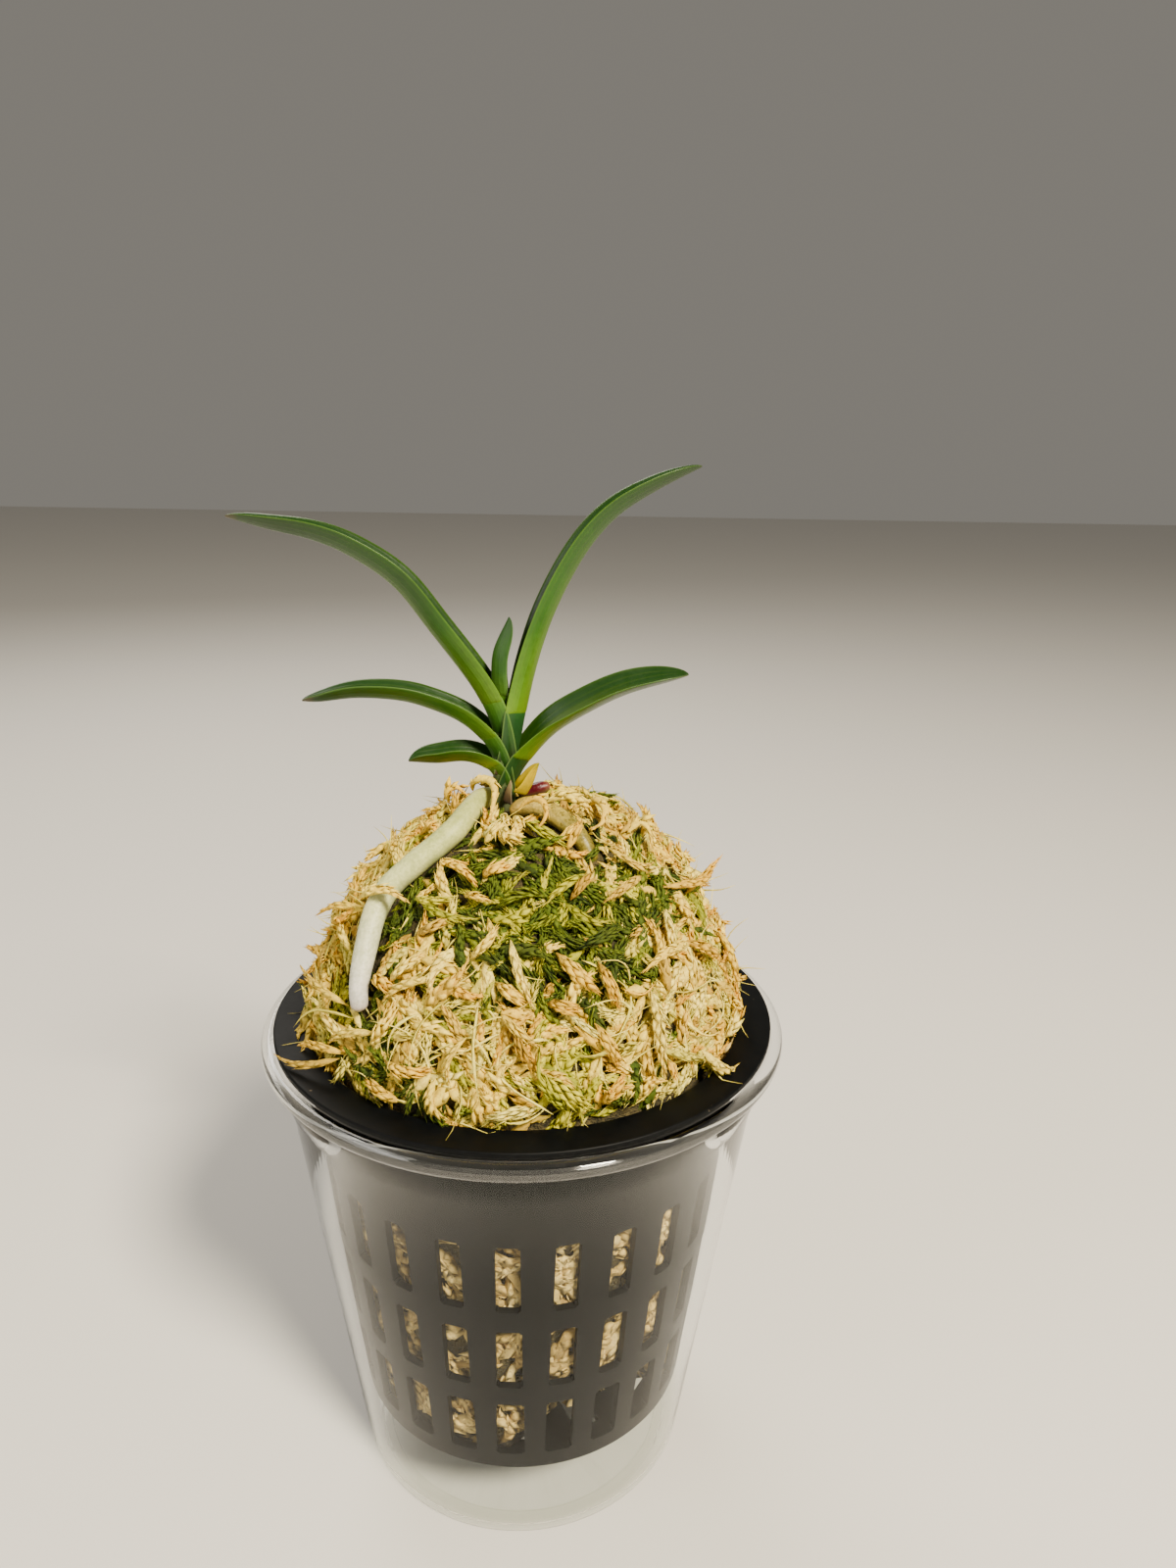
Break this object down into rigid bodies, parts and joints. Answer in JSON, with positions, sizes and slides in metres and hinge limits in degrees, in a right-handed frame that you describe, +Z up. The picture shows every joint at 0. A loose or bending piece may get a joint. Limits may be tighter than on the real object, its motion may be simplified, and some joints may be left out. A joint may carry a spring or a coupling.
{
  "type": "potted wind orchid seedling",
  "caption": "Young orchid with a fan of arching strap leaves and thick aerial roots, bedded in a heap of moss in a slotted net pot that hangs in a clear cup.",
  "frame": {"origin": "centre of the flat face that the cup stands on", "axes": "+Z up along the axis of the cup and net pot, -Y towards the face-on view of the leaf fan, +X to that view's right"},
  "size_m": [0.095, 0.095, 0.1881],
  "materials": {
    "clear_cup": "clear thin moulded plastic with a rolled rim",
    "black_plastic": "black moulded plastic, satin",
    "dry_moss": "dry cream and tan sphagnum strands",
    "green_moss": "living green sphagnum strands",
    "sheath": "smooth green leaf sheaths with pale edges",
    "leaf": "glossy green leaf, yellow-green at the base",
    "old_leaf": "dying leaf, bright yellow",
    "dry_sheath": "dry brown papery sheath",
    "root": "silver-green velamen",
    "root_tip": "ruby red growing tip"
  },
  "bodies": {
    "root": {"outer_cup": "clear_cup", "net_pot": "black_plastic", "moss_mound": "dry_moss", "green_moss": "green_moss", "stem": "sheath", "leaf_long_left": "leaf", "leaf_long_right": "leaf", "leaf_mid_left": "leaf", "leaf_mid_right": "leaf", "leaf_low_left": "leaf", "leaf_new": "leaf", "leaf_old": "old_leaf", "sheath_dry": "dry_sheath", "root_left": "root", "root_right": "root", "root_tip": "root_tip"}
  },
  "joints": []
}
